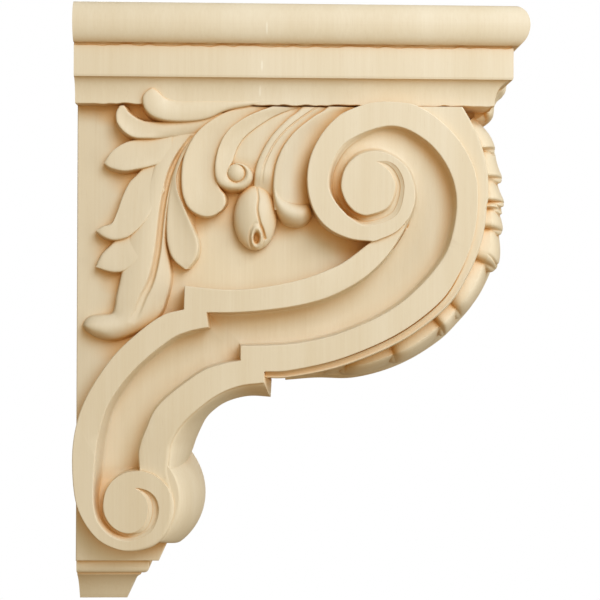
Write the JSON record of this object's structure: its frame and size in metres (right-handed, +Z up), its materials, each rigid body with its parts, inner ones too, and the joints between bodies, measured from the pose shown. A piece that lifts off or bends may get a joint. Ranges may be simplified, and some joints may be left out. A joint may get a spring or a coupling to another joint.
{
  "type": "corbel bracket",
  "caption": "Carved wooden corbel with a moulded cap, an S-scroll with two volutes, acanthus sprays on both sides and a leafed belly, to carry a shelf, beam or worktop.",
  "frame": {"origin": "on the flat back, in the plane of the wall, at half the width and 178 mm above the bottom of the foot, close to half the height", "axes": "+X out of the wall to the front of the cap, +Y across the width, +Z up"},
  "size_m": [0.2664, 0.128, 0.353],
  "materials": {
    "pale_wood": "unfinished pale close-grained wood, sanded smooth"
  },
  "bodies": {
    "root": {"corbel": "pale_wood"}
  },
  "joints": []
}
